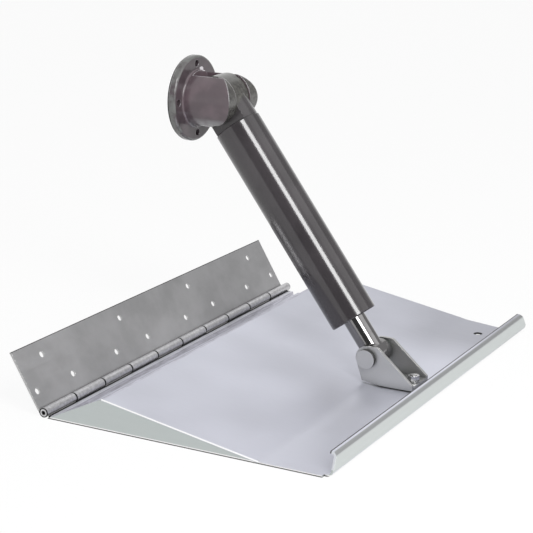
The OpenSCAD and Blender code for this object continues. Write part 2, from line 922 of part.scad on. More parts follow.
module y_cylinder(y0, y1, r) {
    translate([0, y1, 0])
        rotate([90, 0, 0])
            cylinder(h = y1 - y0, r = r);
}

module at_boss() {
    translate([0, 0, -boss_drop]) children();
}

module bolt_holes(y0, y1) {
    for (i = [0 : bolt_count - 1])
        rotate([0, 90 + i * 360 / bolt_count, 0])
            translate([bolt_circle_d / 2, 0, 0])
                y_cylinder(y0 - eps, y1 + eps, bolt_hole_d / 2);
}

module mount_flange() {
    color([0.38, 0.34, 0.37])
        ram_frame() at_pivot()
            difference() {
                union() {
                    at_boss() flange_disc();
                    fork_body();
                }
                translate([-slot_w / 2, -boss_d, -boss_d]) cube([slot_w, boss_d + slot_floor, 2 * boss_d]);
                x_cylinder(-blind_end, ear_out + eps, pivot_pin_d / 2 + run_clear);
                x_cylinder(plug_out - plug_t - seat_clear, ear_out + eps, plug_r_pin + seat_clear);
                at_boss() bolt_holes(flange_gap, flange_back);
                translate([oil_x, 0, 0]) y_cylinder(0, flange_back, oil_d / 2);
                translate([oil_x, 0, 0]) y_cylinder(flange_back - port_deep, flange_back + eps, port_d / 2);
            }
}

// Flange with a rounded rim on its rear face and a fillet up to the boss
module flange_disc() {
    r = flange_d / 2;
    root = boss_d / 2 - root_lap;
    translate([0, flange_back, 0])
        rotate([90, 0, 0])
            rotate_extrude()
                polygon(concat(
                    [[0, 0], [r, 0]],
                    corner([r, flange_t], [0, 1], [-1, 0], rim_r),
                    corner([root, flange_t], [-1, 0], [0, 1], boss_fillet),
                    [[0, flange_t + boss_fillet]]
                ));
}

// Round boss along Y whose end is rounded about the pivot
module fork_body() {
    intersection() {
        at_boss() y_cylinder(-ear_r - eps, flange_gap + eps, boss_d / 2);
        union() {
            x_cylinder(-boss_d, boss_d, ear_r);
            translate([-boss_d, 0, -boss_d]) cube([2 * boss_d, flange_gap + 2 * eps, 2 * boss_d]);
        }
    }
}

module flange_gasket() {
    color([0.1, 0.1, 0.1])
        ram_frame() at_pivot()
            difference() {
                at_boss() y_cylinder(flange_back, flange_back + gasket_t, flange_d / 2 - rim_r / 2);
                at_boss() bolt_holes(flange_back, flange_back + gasket_t);
                translate([oil_x, 0, 0])
                    y_cylinder(flange_back - eps, flange_back + gasket_t + eps, port_d / 2 + 1);
            }
}

module pivot_pin() {
    color([0.7, 0.7, 0.71])
        ram_frame() at_pivot()
            difference() {
                x_cylinder(-pin_left, plug_out - plug_t - seat_clear, pivot_pin_d / 2);
                x_cylinder(-pin_left - eps, oil_d / 2, oil_d / 2);
                cylinder(h = 2 * pivot_pin_d, d = oil_d / 2, center = true);
            }
}

module pin_plug() {
    color([0.3, 0.28, 0.3])
        ram_frame() at_pivot()
            x_cylinder(plug_out - plug_t, plug_out, plug_r_pin);
}

transom_leaf();
hinge_pin();
tab_hinge_leaf();
tab_plate();
bottom_plate();
clevis_bracket();
bracket_pad();
clevis_studs();
stud_washers();
stud_nuts();
clevis_pin();
pin_washer();
pin_clip();
ram_rod();
rod_bushes();
piston();
piston_seals();
wear_ring();
piston_nut();
barrel_tube();
barrel_head();
head_ring();
rod_gland();
gland_ring();
rod_seal();
rod_wiper();
snap_ring();
return_spring();
pivot_bushes();
pivot_seals();
mount_flange();
flange_gasket();
pivot_pin();
pin_plug();
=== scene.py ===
import json
import math
import bpy
from mathutils import Matrix, Vector


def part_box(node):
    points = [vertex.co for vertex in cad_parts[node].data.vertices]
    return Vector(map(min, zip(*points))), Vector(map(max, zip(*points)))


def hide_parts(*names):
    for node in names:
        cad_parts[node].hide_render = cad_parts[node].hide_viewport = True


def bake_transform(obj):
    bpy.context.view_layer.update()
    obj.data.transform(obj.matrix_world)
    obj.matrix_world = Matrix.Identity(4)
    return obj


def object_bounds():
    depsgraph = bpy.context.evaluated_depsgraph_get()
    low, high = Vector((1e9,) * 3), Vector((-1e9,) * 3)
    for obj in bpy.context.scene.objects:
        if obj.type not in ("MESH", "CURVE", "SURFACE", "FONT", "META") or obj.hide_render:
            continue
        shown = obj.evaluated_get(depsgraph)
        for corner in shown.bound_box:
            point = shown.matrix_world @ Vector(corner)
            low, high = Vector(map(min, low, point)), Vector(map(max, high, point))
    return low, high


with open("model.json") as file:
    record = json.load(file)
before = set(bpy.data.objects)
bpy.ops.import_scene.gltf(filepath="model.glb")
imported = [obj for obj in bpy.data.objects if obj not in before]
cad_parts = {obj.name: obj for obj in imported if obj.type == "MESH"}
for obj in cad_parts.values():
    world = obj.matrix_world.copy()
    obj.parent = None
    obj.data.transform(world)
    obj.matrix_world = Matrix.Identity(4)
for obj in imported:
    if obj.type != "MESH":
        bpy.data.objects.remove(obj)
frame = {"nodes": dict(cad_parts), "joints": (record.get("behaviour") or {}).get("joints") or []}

nodes = frame["nodes"]
joints = {joint["name"]: joint for joint in frame["joints"]}
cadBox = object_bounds()
hingePoint = Vector(joints["tab_hinge"]["pos_m"])
pivotPoint = Vector(joints["upper_pivot"]["pos_m"])
ramAxis = Vector(joints["ram_slide"]["axis"]).normalized()
floorHeight = cadBox[0].z
print("frame loaded:", len(nodes), "nodes")


class Wire:
    # one value in a shader tree: sums and products of wires add Math nodes
    def __init__(self, tree, out=None):
        self.tree, self.out = tree, out

    def node(self, kind, settings=None, sockets=None, pick=0):
        made = self.tree.nodes.new("ShaderNode" + kind)
        for name, value in (settings or {}).items():
            setattr(made, name, value)
        for name, value in (sockets or {}).items():
            self.feed(made.inputs[name], value)
        return Wire(self.tree, made.outputs[pick])

    def feed(self, socket, value):
        if isinstance(value, Wire):
            self.tree.links.new(value.out, socket)
        else:
            socket.default_value = value

    def maths(self, operation, a, b=0.0):
        return self.node("Math", {"operation": operation}, {0: a, 1: b})

    def __add__(self, other):
        return self.maths("ADD", self, other)

    def __sub__(self, other):
        return self.maths("SUBTRACT", self, other)

    def __rsub__(self, other):
        return self.maths("SUBTRACT", other, self)

    def __mul__(self, other):
        return self.maths("MULTIPLY", self, other)

    __radd__ = __add__

    def axes(self):
        # the three numbers of a vector
        split = self.node("SeparateXYZ", {}, {0: self})
        return [Wire(self.tree, out) for out in split.out.node.outputs]

    def between(self, low, high):
        # 0 below low, 1 above high, smooth in between
        return self.node("MapRange", {"interpolation_type": "SMOOTHSTEP"},
                         {"Value": self, "From Min": low, "From Max": high})

    def band(self, start, full, fade, end):
        # 0 before start and past end, 1 from full to fade
        return self.between(start, full) * (1 - self.between(fade, end))

    def blend(self, dark, light):
        # mixes two colours by this wire
        return self.node("Mix", {"data_type": "RGBA"}, {"Factor": self, 6: dark, 7: light}, pick=2)


def grey(value, tint=(1, 1, 1)):
    return (value * tint[0], value * tint[1], value * tint[2], 1)


# What all the finishes share
shading = {"easeSamples": 4, "easeRadius": 0.0002, "edgeSamples": 6, "edgeTurn": (0.88, 0.985),
           "nookSamples": 6, "nookOpen": (0.3, 0.8), "cloud": (0.3, 0.7), "bumpDepth": 0.0002}


def startFinish(name, plain):
    # a material with its constant values on the shader's own sockets
    material = bpy.data.materials.new(name)
    material.use_nodes = True
    shader = material.node_tree.nodes["Principled BSDF"]
    for socket, value in plain.items():
        shader.inputs[socket].default_value = value
    wire = Wire(material.node_tree)
    place = wire.node("TexCoord", pick=3)
    return material, shader, wire, place


def noise(wire, place, scale, detail=2.0, stretch=None, rough=0.5):
    if stretch:
        place = wire.node("Mapping", {}, {"Vector": place, "Scale": stretch})
    return wire.node("TexNoise", {}, {"Vector": place, "Scale": scale, "Detail": detail, "Roughness": rough})


def bump(wire, height, strength, depth=shading["bumpDepth"], radius=shading["easeRadius"]):
    # fine relief over edges that are eased by a small radius
    eased = wire.node("Bevel", {"samples": shading["easeSamples"]}, {"Radius": radius})
    return wire.node("Bump", {}, {"Height": height, "Strength": strength, "Distance": depth,
                                  "Normal": eased})


def edges(wire, radius):
    # 1 along sharp edges, 0 on open faces
    eased = wire.node("Bevel", {"samples": shading["edgeSamples"]}, {"Radius": radius})
    plain = wire.node("NewGeometry", pick=1)
    alike = wire.node("VectorMath", {"operation": "DOT_PRODUCT"}, {0: eased, 1: plain}, pick=1)
    return 1 - alike.between(*shading["edgeTurn"])


def nooks(wire, reach):
    # 1 deep in a narrow corner, 0 in the open: the mask for painted shade
    room = wire.node("AmbientOcclusion", {"samples": shading["nookSamples"]}, {"Distance": reach}, pick=1)
    return 1 - room.between(*shading["nookOpen"])


def lengthOf(wire, a, b):
    return wire.maths("SQRT", a * a + b * b)


# Rolled and folded stainless sheet: soft patches, rolling grain, painted highlights on the folds, painted
# shade in corners
sheet = {"ior": 1.6, "patches": (0.25, 0.75), "speckScale": 900.0, "grainRough": 0.14, "speckRough": 0.06,
         "bump": 0.12, "patchShare": 0.45, "patchBase": 0.3, "shadeAhead": 0.1, "levelShare": 0.4,
         "scuffIn": 0.002, "scuffOut": 0.001, "scuffGrain": (60, 500, 500),
         "hemTop": (0.0014, 0.0017), "hemFoot": (0.0005, 0.0009),
         "curlShadowLine": (-0.0011, -0.0006, 0.001, 0.002), "curlHeight": (0.0135, 0.014), "burr": 0.0004,
         "pickleScale": 420.0, "pickle": (0.3, 0.75), "pickleBump": 0.6, "joint": (0.0006, 0.0011),
         "pinGap": (0.0027, 0.003), "beadIn": 0.0002, "beadOut": 0.0004, "shear": (0.0009, 0.0002)}
# How far a face has turned to the side, to the rear or up, as limits on its normal
facing = {"side": (0.75, 0.95), "rear": (0.8, 0.97), "level": (0.987, 0.998), "tilted": (0.2, 0.4),
          "headRim": (0.45, 0.75), "fold": (0.2, 0.45, 0.7, 0.88), "hem": (0.85, 0.95),
          "curl": (0.2, 0.45, 0.86, 0.97), "curlUp": (0.1, 0.3), "endFace": (0.8, 0.9)}


def handled(wire, place, spot, patches, look):
    if "drift" in look:     # painted light: paler towards one side, and painted shade over a band at the other end
        dullFrom, dullTo, dullness = look["dull"]
        dull = spot["x"].between(dullFrom, dullTo)
        if "aft" in look:   # both more so towards the lip
            aftFrom, aftTo, paleness = look["aft"]
            aft = (0 - spot["back"]).between(aftFrom, aftTo)
            patches = patches + aft * paleness
            dull = dull * (aft * (1 - sheet["shadeAhead"]) + sheet["shadeAhead"])
        patches = patches * sheet["patchShare"] + sheet["patchBase"]
        patches = patches - spot["x"] * look["drift"] - dull * dullness
    if "mottle" in look:    # cloudy handling marks
        scale, strength = look["mottle"]
        marks = noise(wire, place, scale, detail=4.0, rough=0.6).between(*shading["cloud"])
        patches = patches + (marks - 0.5) * strength
    return patches


def rearFace(wire, place, spot, tone, look):
    # painted light: the lip's rear face takes its own, paler tone
    return (0 - spot["wayY"]).between(*facing["rear"]).blend(tone, look["rearFace"])


def levelStrip(wire, place, spot, tone, look):
    # painted light: the level strip before the lip is painted paler, less so to one side
    level = spot["wayZ"].between(*facing["level"]) * (1 - spot["x"].between(*look["fade"]))
    return (level * sheet["levelShare"]).blend(tone, look["levelStrip"])


def scuffedCrest(wire, place, spot, tone, look):
    # scuffed band along the bend of the crest
    start, end = look["scuffedCrest"]
    band = spot["back"].band(start, start + sheet["scuffIn"], end, end + sheet["scuffOut"])
    scuffs = noise(wire, place, 1.0, detail=3.0, stretch=sheet["scuffGrain"], rough=0.75)
    band = band * (1 - spot["sideways"].between(*facing["tilted"]))
    return band.blend(tone, scuffs.between(*shading["cloud"]).blend(*look["scuffs"]))


def headRim(wire, place, spot, tone, look):
    # painted shade on the side wall of a pin's head
    return (1 - spot["sideways"].between(*facing["headRim"])).blend(tone, look["headRim"])


def rubbedFolds(wire, place, spot, tone, look):
    # painted highlights along the side folds; at the side edge near the floor, a painted highlight above a
    # painted shadow line at its foot
    tone = spot["sideways"].band(*facing["fold"]).blend(tone, look["rubbedFolds"])
    low = spot["z"] - floorHeight
    hem = spot["sideways"].between(*facing["hem"]) * (1 - low.between(*sheet["hemTop"]))
    return hem.blend(tone, low.between(*sheet["hemFoot"]).blend(look["grime"], look["rubbedFolds"]))


def curledLip(wire, place, spot, tone, look):
    # painted shade on the bend along the lip's top, and a painted shadow line along its front edge
    bent = (0 - spot["wayY"]).band(*facing["curl"]) * spot["wayZ"].between(*facing["curlUp"])
    tone = bent.blend(tone, look["curledLip"])
    edge = (spot["back"] - look["curlEdge"]).band(*sheet["curlShadowLine"])
    edge = edge * (spot["z"] - floorHeight).between(*sheet["curlHeight"])
    return edge.blend(tone, look["grime"])


def lineHole(wire, place, spot, tone, look):
    # painted shade in the small hole near the lip
    holeX, holeBack, reach = look["lineHole"]
    dx, dy = spot["x"] - holeX, spot["back"] - holeBack
    burr = 1 - (dx * dx + dy * dy).between(reach ** 2, (reach + sheet["burr"]) ** 2)
    return burr.blend(tone, look["grime"])


def knuckles(wire, place, spot, tone, look):
    # the rolled knuckles keep a pickled skin, with grime at their joints
    out = lengthOf(wire, spot["back"], spot["z"] - hingePoint.z)
    rolled = 1 - out.between(*look["knuckleEdge"])
    pickled = noise(wire, place, sheet["pickleScale"], rough=0.7).between(*sheet["pickle"])
    tone = rolled.blend(tone, pickled.blend(*look["knuckles"]))
    spot["relief"] = spot["relief"] + rolled * pickled * sheet["pickleBump"]
    fromJoint = wire.maths("PINGPONG", spot["x"] + look["jointStart"], look["jointPitch"] / 2)
    endFace = spot["sideways"].between(*facing["endFace"])
    grimy = rolled * (1 - fromJoint.between(*sheet["joint"])) * (1 - endFace)
    grimy = grimy + endFace * rolled * out.between(*sheet["pinGap"])
    if "bead" in look:      # painted shadow line where the knuckles meet the strip
        start, end = look["bead"]
        grimy = grimy + out.band(start, start + sheet["beadIn"], end, end + sheet["beadOut"])
    return grimy.blend(tone, look["grime"])


def shearedEdge(wire, place, spot, tone, look):
    # the free edge as the shears left it
    lean, (first, last) = math.radians(look["leafLean"]), sheet["shear"]
    up = spot["back"] * math.sin(lean) + (spot["z"] - hingePoint.z) * math.cos(lean)
    cut = up.between(look["shearedEdge"] - first, look["shearedEdge"] - last)
    return cut.blend(tone, look["grime"])


# A look that names one of these marks gets it, in this order
sheetMarks = {"rearFace": rearFace, "levelStrip": levelStrip, "scuffedCrest": scuffedCrest, "headRim": headRim,
              "rubbedFolds": rubbedFolds, "curledLip": curledLip, "lineHole": lineHole, "knuckles": knuckles,
              "shearedEdge": shearedEdge}


def sheetSteel(name, look):
    material, shader, wire, place = startFinish(name, {"Metallic": look["metallic"], "IOR": sheet["ior"]})
    x, y, z = place.axes()
    wayX, wayY, wayZ = wire.node("TexCoord", pick=1).axes()
    patches = noise(wire, place, look["patchScale"]).between(*sheet["patches"])
    grain = noise(wire, place, 1.0, stretch=look["grain"])
    specks = noise(wire, place, sheet["speckScale"], detail=1.0)
    spot = {"x": x, "z": z, "back": y - hingePoint.y, "sideways": wire.maths("ABSOLUTE", wayX),
            "wayY": wayY, "wayZ": wayZ, "relief": grain + specks * look["speckle"]}
    tone = handled(wire, place, spot, patches, look).blend(look["dark"], look["light"])
    # painted light: faces turned to the side take a tone of their own
    tone = spot["sideways"].between(*facing["side"]).blend(tone, look["side"])
    for key, mark in sheetMarks.items():
        if key in look:
            tone = mark(wire, place, spot, tone, look)
    # painted shade: the colour darkens deep in narrow corners and gaps
    tone = (nooks(wire, look["nook"]) * look["dirt"]).blend(tone, look["grime"])
    rough = look["rough"] + (grain - 0.5) * sheet["grainRough"] + (specks - 0.5) * sheet["speckRough"]
    wire.feed(shader.inputs["Base Color"], tone)
    wire.feed(shader.inputs["Roughness"], rough)
    wire.feed(shader.inputs["Normal"], bump(wire, spot["relief"], sheet["bump"]))
    return material


lavender, scuffTint, pickleTint = (0.97, 0.985, 1.10), (0.99, 0.98, 1.12), (1, 0.995, 1.02)
hinge = {"knuckles": (grey(0.46, pickleTint), grey(0.62, pickleTint)),
         "jointStart": 0.186, "jointPitch": 0.0377}
leafSheet = {**hinge, "dark": grey(0.33, (1, 0.995, 1.01)), "light": grey(0.56, (1, 0.995, 1.015)),
             "side": grey(0.46), "patchScale": 9.0, "drift": 1.0, "dull": (0.1, 0.18, 0.1),
             "mottle": (30.0, 0.35), "grain": (18, 700, 700), "rough": 0.36, "metallic": 0.9, "speckle": 0.3,
             "knuckleEdge": (0.0037, 0.0042), "shearedEdge": 0.0505, "leafLean": 30.5,
             "nook": 0.003, "dirt": 0.9, "grime": grey(0.03)}
tabSheet = {"dark": grey(0.43, lavender), "light": grey(0.72, lavender),
            "side": grey(0.52, (0.95, 1.02, 1.01)), "patchScale": 8.0, "drift": 1.2,
            "dull": (0.06, 0.16, 0.8), "aft": (0.1, 0.2, 0.78),
            "levelStrip": grey(0.72, (0.97, 0.985, 1.09)), "fade": (-0.02, 0.08),
            "scuffedCrest": (-0.0545, -0.047), "scuffs": (grey(0.38, scuffTint), grey(0.6, scuffTint)),
            "rearFace": grey(0.6, (0.97, 1.02, 1.01)), "rubbedFolds": grey(0.95),
            "curledLip": grey(0.38, (0.98, 1, 1.02)), "curlEdge": -0.2311,
            "lineHole": (0.151, -0.206, 0.0036),
            "grain": (700, 20, 700), "rough": 0.42, "metallic": 0.85, "speckle": 0.4,
            "nook": 0.003, "dirt": 0.95, "grime": grey(0.04)}
stripSheet = {**hinge, "dark": grey(0.66, (0.98, 0.985, 1.06)), "light": grey(0.8, (0.98, 0.985, 1.06)),
              "side": grey(0.3), "patchScale": 45.0, "grain": (60, 900, 900), "rough": 0.36,
              "metallic": 0.8, "speckle": 0.8, "scuffedCrest": (-0.018, -0.0095),
              "scuffs": (grey(0.32, scuffTint), grey(0.6, scuffTint)),
              "knuckleEdge": (0.0037, 0.0038), "bead": (0.0037, 0.0055),
              "nook": 0.0015, "dirt": 0.6, "grime": grey(0.012)}
bracketSheet = {"dark": grey(0.44), "light": grey(0.5), "side": grey(0.54), "patchScale": 60.0,
                "grain": (500, 500, 60), "rough": 0.42, "metallic": 0.85, "speckle": 0.4,
                "nook": 0.014, "dirt": 0.75, "grime": grey(0.06, (0.95, 1.03, 1))}
pinSteel = {"dark": grey(0.42), "light": grey(0.5), "side": grey(0.56), "headRim": grey(0.1),
            "patchScale": 90.0, "grain": (500, 500, 500), "rough": 0.36, "metallic": 0.85, "speckle": 0.5,
            "nook": 0.004, "dirt": 0.6, "grime": grey(0.06)}

# Turned and drawn bright steel
# the reach, strength and colour of painted shade in narrow corners
turned = {"wear": (0.45, 0.75), "nook": 0.003, "dirt": 0.9, "grime": grey(0.04), "bump": 0.08,
          "bumpDepth": 0.0001}


def brightSteel(name, look):
    material, shader, wire, place = startFinish(name, {"Metallic": 1.0})
    rings = noise(wire, place, 1.0, stretch=look["grain"])
    wear = noise(wire, place, look["wearScale"], detail=4.0, rough=0.7).between(*turned["wear"])
    tone = wear.blend(look["light"], look["dark"])
    # painted shade: the colour darkens deep in narrow corners and gaps
    tone = (nooks(wire, turned["nook"]) * turned["dirt"]).blend(tone, turned["grime"])
    wire.feed(shader.inputs["Base Color"], tone)
    wire.feed(shader.inputs["Roughness"], look["rough"] + rings * look["haze"] + wear * look["haze"])
    wire.feed(shader.inputs["Normal"], bump(wire, rings, turned["bump"], turned["bumpDepth"]))
    return material


fastenerSteel = {"light": grey(0.62), "dark": grey(0.46), "grain": (700, 700, 700), "wearScale": 160.0,
                 "rough": 0.2, "haze": 0.09}
rodChrome = {"light": grey(0.25, (1, 0.98, 0.99)), "dark": grey(0.19, (1, 0.97, 0.97)),
             "grain": (60, 900, 900), "wearScale": 70.0, "rough": 0.09, "haze": 0.03}
pistonMetal = {"light": grey(0.6), "dark": grey(0.5), "grain": (900, 900, 300), "wearScale": 90.0,
               "rough": 0.28, "haze": 0.09}
bearingBronze = {"light": grey(0.55, (1.15, 0.92, 0.5)), "dark": grey(0.42, (1.15, 0.88, 0.45)),
                 "grain": (900, 900, 300), "wearScale": 90.0, "rough": 0.3, "haze": 0.09}

# Dark coated metal: an anodised barrel and an enamelled casting
coat = {"ior": 1.5, "gloss": 0.05, "dustScale": 420.0, "dust": (0.62, 0.78), "skinRough": 0.05,
        "dustRough": 0.08, "dustDull": 0.4, "bossSoft": 0.001, "under": (0.5, 0.68, 0.86, 0.94),
        "floorReflectionScale": 90.0, "salt": (0.2, 0.6), "rimReach": (0.0317, 0.0327), "rimScale": 140.0,
        "rim": (0.3, 0.6), "glintLong": 0.6, "glintScale": 600.0, "glintRagged": 0.0008,
        "glint": (0.0019, 0.0023), "knobIn": 0.0003, "knobOut": 0.002, "knobSide": (-0.004, 0.006),
        "mottleScale": 300.0, "upper": (-0.1, 0.35)}


def paleBoss(wire, place, spot, cloud, tone, look):
    # painted light on the casting: the boss painted paler, a painted reflection of the floor along its
    # underside, painted highlights on the rim and one painted glint at the boss's root
    bx, bz = spot["x"] - pivotPoint.x, spot["z"] - pivotPoint.z + look["bossDrop"]
    out = bx * bx + bz * bz
    boss = 1 - out.between(look["bossReach"] ** 2, (look["bossReach"] + coat["bossSoft"]) ** 2)
    tone = boss.blend(tone, cloud.blend(*look["boss"]))
    salt = boss * (0 - spot["wayZ"]).band(*coat["under"])
    salt = salt * noise(wire, place, coat["floorReflectionScale"], detail=3.0).between(*coat["salt"])
    tone = salt.blend(tone, look["salt"])
    rim = out.between(coat["rimReach"][0] ** 2, coat["rimReach"][1] ** 2)
    rim = rim * noise(wire, place, coat["rimScale"], detail=3.0).between(*coat["rim"])
    tone = rim.blend(tone, look["rim"])
    fromChip = lengthOf(wire, (bx - look["glintAt"][0]) * coat["glintLong"], bz - look["glintAt"][1])
    fromChip = fromChip + noise(wire, place, coat["glintScale"]) * coat["glintRagged"]
    return (1 - fromChip.between(*coat["glint"])).blend(tone, look["paintedHighlight"])


def rubbedKnob(wire, place, spot, tone, look):
    # painted reflection: dull olive over the knuckle of the pivot
    dy, dz = spot["y"] - pivotPoint.y, spot["z"] - pivotPoint.z
    inside, outside = look["knobReach"]
    rubbed = lengthOf(wire, dy, dz).band(inside - coat["knobIn"], inside, outside, outside + coat["knobOut"])
    aside = dy * look["knobWay"][0] + dz * look["knobWay"][1]
    rubbed = rubbed * (1 - aside.between(*coat["knobSide"]))
    mottle = noise(wire, place, coat["mottleScale"], detail=3.0, rough=0.7).between(*shading["cloud"])
    return rubbed.blend(tone, mottle.blend(*look["knob"]))


def darkCoat(name, look):
    material, shader, wire, place = startFinish(name, {
        "Metallic": 0.0, "IOR": coat["ior"], "Coat Roughness": coat["gloss"], "Coat IOR": coat["ior"]})
    cloud = noise(wire, place, look["cloudScale"], detail=3.0).between(*shading["cloud"])
    skin = noise(wire, place, look["skinScale"])
    dust = noise(wire, place, coat["dustScale"], detail=3.0, rough=0.7).between(*coat["dust"])
    x, y, z = place.axes()
    spot = {"x": x, "y": y, "z": z, "wayZ": wire.node("TexCoord", pick=1).axes()[2]}
    tone = cloud.blend(look["dark"], look["light"])
    if "boss" in look:
        tone = paleBoss(wire, place, spot, cloud, tone, look)
    if "knob" in look:
        tone = rubbedKnob(wire, place, spot, tone, look)
    if "paintedHighlight" in look:     # painted highlights along upper edges
        worn = edges(wire, look["edge"]) * spot["wayZ"].between(*coat["upper"])
        tone = worn.blend(tone, look["paintedHighlight"])
    rough = look["rough"] + skin * coat["skinRough"] + dust * coat["dustRough"]
    wire.feed(shader.inputs["Base Color"], tone)
    wire.feed(shader.inputs["Roughness"], rough)
    wire.feed(shader.inputs["Coat Weight"], look["coat"] - dust * look["coat"] * coat["dustDull"])
    wire.feed(shader.inputs["Normal"], bump(wire, skin, look["skin"], radius=look["edge"]))
    return material


barrelCoat = {"dark": grey(0.030, (1.07, 0.95, 1.03)), "light": grey(0.042, (1.07, 0.95, 1.03)),
              "cloudScale": 30.0, "skinScale": 700.0, "rough": 0.13, "coat": 0.2, "skin": 0.03,
              "edge": 0.0004}
mountCoat = {"dark": grey(0.036, (1.14, 0.88, 1.0)), "light": grey(0.062, (1.16, 0.88, 1.0)),
             "cloudScale": 55.0, "skinScale": 320.0, "rough": 0.16, "coat": 0.15, "skin": 0.05, "edge": 0.0011,
             "boss": (grey(0.07, (1.16, 0.88, 1.0)), grey(0.1, (1.18, 0.87, 0.99))), "bossDrop": 0.0015,
             "bossReach": 0.0228, "salt": grey(0.2, (1, 0.97, 1)), "paintedHighlight": grey(0.6, (1, 0.96, 1)),
             "rim": grey(0.13, (0.98, 1.0, 0.97)), "glintAt": (0.0067, 0.0226),
             "knob": (grey(0.035, (1.04, 0.99, 0.94)), grey(0.085, (1.03, 1.0, 0.93))),
             "knobReach": (0.0199, 0.0204), "knobWay": (1, 0)}
headCoat = {"dark": grey(0.030, (1.07, 0.95, 1.02)), "light": grey(0.042, (1.07, 0.95, 1.02)),
            "cloudScale": 90.0, "skinScale": 420.0, "rough": 0.2, "coat": 0.2, "skin": 0.1, "edge": 0.0009,
            "knob": (grey(0.03, (1.05, 1.0, 0.9)), grey(0.075, (1.04, 1.0, 0.9))),
            "knobReach": (0.0, 0.0195), "knobWay": (0.3, -1)}

# Moulded rubber and plain bearing plastic
mould = {"ior": 1.48, "cloudScale": 80.0, "skinScale": 1600.0, "skinRough": 0.12, "bump": 0.2}


def moulded(name, look):
    material, shader, wire, place = startFinish(name, {"Metallic": 0.0, "IOR": mould["ior"]})
    cloud = noise(wire, place, mould["cloudScale"], detail=3.0).between(*shading["cloud"])
    skin = noise(wire, place, mould["skinScale"])
    wire.feed(shader.inputs["Base Color"], cloud.blend(look["dark"], look["light"]))
    wire.feed(shader.inputs["Roughness"], look["rough"] + skin * mould["skinRough"])
    wire.feed(shader.inputs["Normal"], bump(wire, skin, mould["bump"]))
    return material


softRubber = {"dark": grey(0.014), "light": grey(0.024), "rough": 0.62}
bushPlastic = {"dark": grey(0.24, (0.95, 1.06, 0.98)), "light": grey(0.32, (0.95, 1.06, 0.98)), "rough": 0.42}

finishes = {
    "leaf": sheetSteel("leafSheet", leafSheet),
    "tab": sheetSteel("tabSheet", tabSheet),
    "strip": sheetSteel("stripSheet", stripSheet),
    "bracket": sheetSteel("bracketSheet", bracketSheet),
    "pin": sheetSteel("pinSteel", pinSteel),
    "fastener": brightSteel("fastenerSteel", fastenerSteel),
    "chrome": brightSteel("rodChrome", rodChrome),
    "alloy": brightSteel("pistonMetal", pistonMetal),
    "bronze": brightSteel("bearingBronze", bearingBronze),
    "barrel": darkCoat("barrelCoat", barrelCoat),
    "mount": darkCoat("mountCoat", mountCoat),
    "head": darkCoat("headCoat", headCoat),
    "rubber": moulded("softRubber", softRubber),
    "bush": moulded("bushPlastic", bushPlastic),
}
wearing = {
    "leaf": ["transom_leaf"],
    "tab": ["tab_plate", "bottom_plate"],
    "strip": ["tab_hinge_leaf"],
    "bracket": ["clevis_bracket"],
    "pin": ["clevis_pin"],
    "fastener": ["hinge_pin", "clevis_studs", "stud_washers", "stud_nuts", "pin_washer", "pin_clip",
                 "piston_nut", "snap_ring", "pivot_pin"],
    "chrome": ["ram_rod"],
    "alloy": ["piston"],
    "bronze": ["wear_ring", "rod_gland"],
    "barrel": ["barrel_tube"],
    "mount": ["mount_flange", "pin_plug"],
    "head": ["barrel_head"],
    "rubber": ["bracket_pad", "piston_seals", "head_ring", "gland_ring", "rod_seal", "rod_wiper",
               "pivot_seals", "flange_gasket"],
    "bush": ["rod_bushes", "pivot_bushes"],
}


def dress(node, material):
    mesh = nodes[node].data
    if not mesh.materials:
        mesh.materials.append(material)
    for i in range(len(mesh.materials)):
        mesh.materials[i] = material


for finish, names in wearing.items():
    for name in names:
        dress(name, finishes[finish])
print("finishes on", sum(len(v) for v in wearing.values()), "nodes")


def addObject(name, data):
    made = bpy.data.objects.new(name, data)
    bpy.context.scene.collection.objects.link(made)
    return made


# Return spring, wound closer towards its ends: it draws together between the barrel's gland and the piston
coil = {"turns": 13, "radius": 0.01225, "wire": 0.003, "steps": 520, "sides": 10, "draw": 0.4835}


def makeSpring():
    shape = nodes["return_spring"]
    along = [(shape.matrix_world @ v.co - pivotPoint).dot(ramAxis) for v in shape.data.vertices]
    start = pivotPoint + ramAxis * (min(along) + coil["wire"] / 2)
    end = pivotPoint + ramAxis * (max(along) - coil["wire"] / 2)
    sideA = ramAxis.orthogonal().normalized()
    sideB = ramAxis.cross(sideA)
    sides, steps = coil["sides"], coil["steps"]
    points, faces = [], []
    for i in range(steps + 1):
        share = i / steps
        wound = (share - coil["draw"] * share * share * (3 - 2 * share)) / (1 - coil["draw"])
        turn = 2 * math.pi * coil["turns"] * wound
        outward = sideA * math.cos(turn) + sideB * math.sin(turn)
        middle = start.lerp(end, share) + outward * coil["radius"]
        for k in range(sides):
            a = 2 * math.pi * k / sides
            points.append(middle + (outward * math.cos(a) + ramAxis * math.sin(a)) * coil["wire"] / 2)
    for i in range(steps):
        for k in range(sides):
            a, b = i * sides + k, i * sides + (k + 1) % sides
            faces.append((a, a + sides, b + sides, b))
    faces += [tuple(range(sides)), tuple(steps * sides + k for k in reversed(range(sides)))]
    mesh = bpy.data.meshes.new("returnSpring")
    mesh.from_pydata(points, [], faces)
    mesh.materials.append(finishes["fastener"])
    mesh.shade_smooth()
    spring = addObject("returnSpring", mesh)
    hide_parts("return_spring")
    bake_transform(spring)
    print("spring of", len(points), "points")


makeSpring()

# Studio: pale floor, white surround, one softbox, cards that only show in gloss
studio = {"floorSize": 30.0, "floorTone": 0.95, "floorGlow": 0.92, "ambient": 0.5}
camera = {"seat": (-1.0828, -0.6851, 0.4287), "azimuth": 60.973, "drop": 15.675, "focal": 1621.0,
          "frame": 533, "sensor": 36.0, "clip": (0.05, 100.0)}
